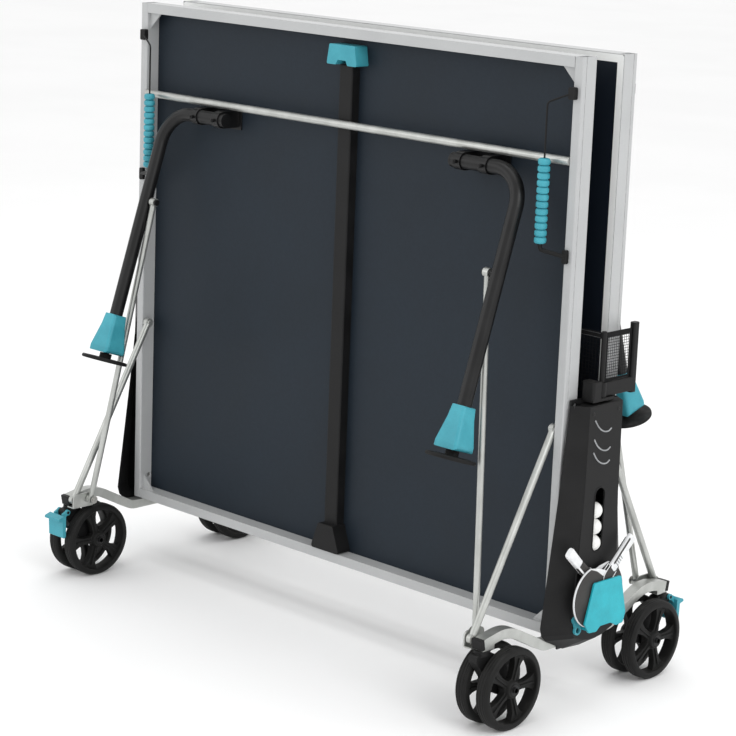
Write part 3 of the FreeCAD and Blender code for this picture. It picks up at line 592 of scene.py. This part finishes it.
def make_cover_trim():
    """Three curved lines and the ball slot's rim on the right cover, and the screws of both."""
    identity = Matrix.Identity(4)
    strokes = []
    for top in ARC_TOPS:
        line = smooth_path([(COVER_X + 0.0002, y, top + z) for y, z in ARC], 8)
        strokes.append((tube(line, 0.0019, 8), identity))
    piece("cover_trim_lines", merge(strokes), "trim_grey", "base", slot="black_plastic")
    ring = []
    for k in range(48):
        a = TAU * k / 48
        straight = BALL_SLOT_STRAIGHT if math.sin(a) >= 0 else -BALL_SLOT_STRAIGHT
        ring.append((COVER_X - 0.0002, BALL_Y + BALL_SLOT_R * math.cos(a),
                     BALL_SLOT_Z + straight + BALL_SLOT_R * math.sin(a)))
    piece("ball_slot_rim", tube(ring, 0.0016, 8, closed=True), "black_plastic", "base",
          slot="black_plastic")
    screws = []
    for sign in (1, -1):
        for y, z in COVER_SCREWS:
            place = toward((sign, 0, 0), (sign * (COVER_X - 0.0004), y, z))
            screws.append((screw_head(0.0046), place))
    piece("cover_screws", merge(screws), "black_steel", "base", slot="black_steel")


def screw_head(radius):
    """Domed screw head with a round recess."""
    return turned([(0, -0.001), (radius, -0.001), (radius, 0.0006), (radius * 0.8, 0.0016),
                   (radius * 0.45, 0.0018), (radius * 0.40, 0.0006), (0, 0.0006)], 20)


def hex_bolt(radius, height):
    """Hexagon head on a washer, standing along Z."""
    washer = turned([(0, 0), (radius * 1.55, 0), (radius * 1.6, 0.0003), (radius * 1.55, 0.0011),
                     (0, 0.0011)], 28)
    outline = [(radius * math.cos(TAU * k / 6), radius * math.sin(TAU * k / 6)) for k in range(6)]
    head = slab(outline, 0.0010, height)
    return merge([(washer, Matrix.Identity(4)), (head, Matrix.Identity(4))])


# ---------------------------------------------------------------- wheels
def tyre_profile():
    """Closed rim and tread section as (radius, height) points."""
    half = WHEEL_W / 2
    outer = WHEEL_R
    points = [(0.0815, -half + 0.0075), (0.0830, -half + 0.0015), (0.0850, -half),
              (0.0925, -half + 0.0006), (outer - 0.0030, -half + 0.0026),
              (outer - 0.0006, -half + 0.0060)]
    for groove in (-0.0080, 0.0, 0.0080):
        points += [(outer, groove - 0.0016), (outer - 0.0014, groove - 0.0008),
                   (outer - 0.0014, groove + 0.0008), (outer, groove + 0.0016)]
    points += [(outer - 0.0006, half - 0.0060), (outer - 0.0030, half - 0.0026),
               (0.0925, half - 0.0006), (0.0850, half), (0.0830, half - 0.0015),
               (0.0815, half - 0.0075)]
    return points


def spoke_outline():
    """Spoke from hub to rim, slim in the middle, as (across, out) points."""
    half = [(0.0105, 0.0150), (0.0088, 0.0330), (0.0092, 0.0480), (0.0125, 0.0640),
            (0.0190, 0.0760), (0.0260, 0.0830)]
    return [(-x, y) for x, y in half] + half[::-1]


def wheel_mesh():
    """Tyre, five ribbed spokes and a bored hub, standing along Z."""
    identity = Matrix.Identity(4)
    half = WHEEL_W / 2
    section = tyre_profile()
    ring = turned(section + section[:1], 96)
    bmesh.ops.remove_doubles(ring, verts=ring.verts, dist=1e-7)
    parts = [(ring, identity)]
    for index in range(SPOKES):
        turn = Matrix.Rotation(TAU * index / SPOKES, 4, "Z")
        parts.append((slab(spoke_outline(), -0.0085, 0.0085), turn))
        for sign in (-1, 1):
            low, high = sorted((sign * 0.0083, sign * 0.0118))
            rib = [(-0.0026, 0.018), (-0.0020, 0.074), (0.0020, 0.074), (0.0026, 0.018)]
            parts.append((slab(rib, low, high), turn))
    bore = 0.0061
    hub = [(bore, -half), (0.0185, -half), (0.0205, -half + 0.002), (0.0225, -0.0092),
           (0.0240, -0.0086), (0.0240, 0.0086), (0.0225, 0.0092), (0.0205, half - 0.002),
           (0.0185, half), (bore, half), (bore, -half)]
    hub_mesh = turned(hub, 48)
    bmesh.ops.remove_doubles(hub_mesh, verts=hub_mesh.verts, dist=1e-7)
    parts.append((hub_mesh, identity))
    return merge(parts)


def make_wheels():
    """Twin wheels of the four casters, the inner one a half spoke round, and the axle nuts."""
    for end, sy in (("front", -1), ("rear", 1)):
        for side, sx in (("right", 1), ("left", -1)):
            body = "wheels_" + end + "_" + side
            for which, offset in (("inner", -WHEEL_OFFSET), ("outer", WHEEL_OFFSET)):
                x = sx * (BAR_X + offset)
                place = toward((sx, 0, 0), (x, sy * AXLE_Y, WHEEL_R))
                turned_by = TAU / SPOKES / 2 if which == "inner" else 0
                place = place @ Matrix.Rotation(turned_by, 4, "Z")
                stand_for = (body,) if which == "inner" else ()
                piece("wheel_" + end + "_" + side + "_" + which, wheel_mesh(), "wheel_black", body,
                      slot="wheel_black", bevel=0.0012, place=place, stand_for=stand_for)
            caster = "caster_" + end + "_" + side
            nuts = []
            for sign in (-1, 1):
                x = sx * BAR_X + sign * (WHEEL_OFFSET + WHEEL_W / 2 + 0.0002)
                place = toward((sign, 0, 0), (x, sy * AXLE_Y, WHEEL_R))
                nuts.append((hex_bolt(0.0082, 0.0058), place))
            piece("axle_nuts_" + end + "_" + side, merge(nuts), "black_steel", caster,
                  slot="black_steel", bevel=0.0005)


# ---------------------------------------------------------------- bolts, pivots and plugs
def make_fixings():
    """Bolts of the leg brackets and the pivots of the rods on the base."""
    for end, sy in (("front", -1), ("rear", 1)):
        bolts = []
        for sx in (-1, 1):
            for x in LEG_BOLT_X:
                place = toward((0, sy, 0), (sx * x, sy * LEG_BOLT_Y, LEG_BOLT_Z))
                bolts.append((hex_bolt(0.0040, 0.0042), place))
        piece(end + "_bracket_bolts", merge(bolts), "black_steel", end + "_half",
              slot="black_steel", bevel=0.0004)
        pivots = []
        for sx in (-1, 1):
            for (x0, x1, y), head_x, way in ((OUTER_PIVOT, OUTER_PIVOT[1], sx),
                                             (INNER_PIVOT, INNER_PIVOT[0], -sx)):
                axle = turned([(0, x0), (0.0046, x0), (0.0046, x1), (0, x1)], 20)
                pivots.append((axle, toward((sx, 0, 0), (0, sy * y, ROD_Z))))
                place = toward((way, 0, 0), (sx * head_x, sy * y, ROD_Z))
                pivots.append((hex_bolt(0.0068, 0.0050), place))
        piece(end + "_rod_bolts", merge(pivots), "zinc_steel", "base", slot="zinc_steel",
              bevel=0.0004)


def make_bar_ends():
    """Black plugs in the open ends of the base bars."""
    for end, sy in (("front", -1), ("rear", 1)):
        plugs = []
        for sx in (-1, 1):
            outline = [(-0.0156, -0.0131), (0.0156, -0.0131), (0.0156, 0.0131), (-0.0156, 0.0131)]
            shape = slab(outline, -0.008, 0.003)
            plugs.append((shape, toward((0, sy, -0.19), (sx * BAR_X, sy * BAR_END_Y, BAR_END_Z))))
        piece(end + "_bar_plugs", merge(plugs), "black_plastic", "base", slot="black_plastic",
              bevel=0.0012)


# ---------------------------------------------------------------- studio
def make_stage():
    """Wide, pale, nearly even floor."""
    bm = bmesh.new()
    ends = ((-FLOOR_HALF, -FLOOR_HALF), (FLOOR_HALF, -FLOOR_HALF), (FLOOR_HALF, FLOOR_HALF),
            (-FLOOR_HALF, FLOOR_HALF))
    bm.faces.new([bm.verts.new((x, y, 0)) for x, y in ends])
    mesh = bpy.data.meshes.new("floor")
    bm.to_mesh(mesh)
    bm.free()
    floor = bpy.data.objects.new("floor", mesh)
    bpy.context.scene.collection.objects.link(floor)
    material = bpy.data.materials.new("floor")
    material.use_nodes = True
    tree = material.node_tree
    shader = tree.nodes["Principled BSDF"]
    place = add(tree, "ShaderNodeTexCoord").outputs["Object"]
    tone = ramp(tree, noise(tree, place, 0.8), 0.3, 0.7, 0.945, 0.965)
    grey = add(tree, "ShaderNodeCombineColor", {0: tone, 1: tone, 2: tone}).outputs[0]
    tree.links.new(grey, shader.inputs["Base Color"])
    shader.inputs["Roughness"].default_value = 0.75
    shader.inputs["Specular IOR Level"].default_value = 0.15
    mesh.materials.append(material)


def area_light(name, place, target, size, power):
    """Square lamp at a place, turned to a target."""
    data = bpy.data.lights.new(name, "AREA")
    data.shape = "RECTANGLE"
    data.size = size
    data.size_y = size
    data.energy = power
    lamp = bpy.data.objects.new(name, data)
    bpy.context.scene.collection.objects.link(lamp)
    lamp.location = place
    lamp.rotation_euler = (Vector(target) - Vector(place)).to_track_quat("-Z", "Y").to_euler()


def make_lights():
    """White surroundings and three large lamps."""
    world = bpy.data.worlds.new("studio")
    world.use_nodes = True
    sky = world.node_tree.nodes["Background"]
    sky.inputs["Color"].default_value = (1.0, 1.0, 1.0, 1.0)
    sky.inputs["Strength"].default_value = 1.0
    bpy.context.scene.world = world
    area_light("key", (4.6, -1.2, 3.6), (0.2, 0, 0.7), 2.2, 70.0)
    area_light("fill", (-2.6, -4.4, 3.0), (0, 0, 0.8), 3.0, 30.0)
    area_light("top", (0.0, 0.4, 5.2), (0, 0, 0), 3.4, 55.0)


CAMERA_AT = (4.1784, -4.3105, 2.0678)
CAMERA_YAW, CAMERA_PITCH, CAMERA_ROLL = 43.875, 13.018, 2.202     # degrees
LENS = 117.29                  # millimetres, on a 36 mm sensor


def make_camera():
    """Pinhole camera of the photo's view."""
    yaw, pitch, roll = (math.radians(a) for a in (CAMERA_YAW, CAMERA_PITCH, CAMERA_ROLL))
    level = Vector((-math.sin(yaw), math.cos(yaw), 0))
    forward = level * math.cos(pitch) - Vector((0, 0, math.sin(pitch)))
    right = Vector((math.cos(yaw), math.sin(yaw), 0))
    up = right.cross(forward)
    level_right = right * math.cos(roll) + up * math.sin(roll)
    level_up = up * math.cos(roll) - right * math.sin(roll)
    data = bpy.data.cameras.new("camera")
    data.lens = LENS
    data.sensor_width = 36.0
    data.clip_end = 60.0
    camera = bpy.data.objects.new("camera", data)
    bpy.context.scene.collection.objects.link(camera)
    turn = Matrix((level_right, level_up, -forward)).transposed().to_4x4()
    camera.matrix_world = Matrix.Translation(CAMERA_AT) @ turn
    bpy.context.scene.camera = camera
    bpy.context.scene.view_settings.view_transform = "Standard"


# ---------------------------------------------------------------- everything
paint_nodes()
make_net()
make_bat("bat_inner", *INNER_BAT, True)
make_bat("bat_outer", *OUTER_BAT, False)
make_cover_trim()
make_wheels()
make_fixings()
make_bar_ends()
make_stage()
make_lights()
make_camera()
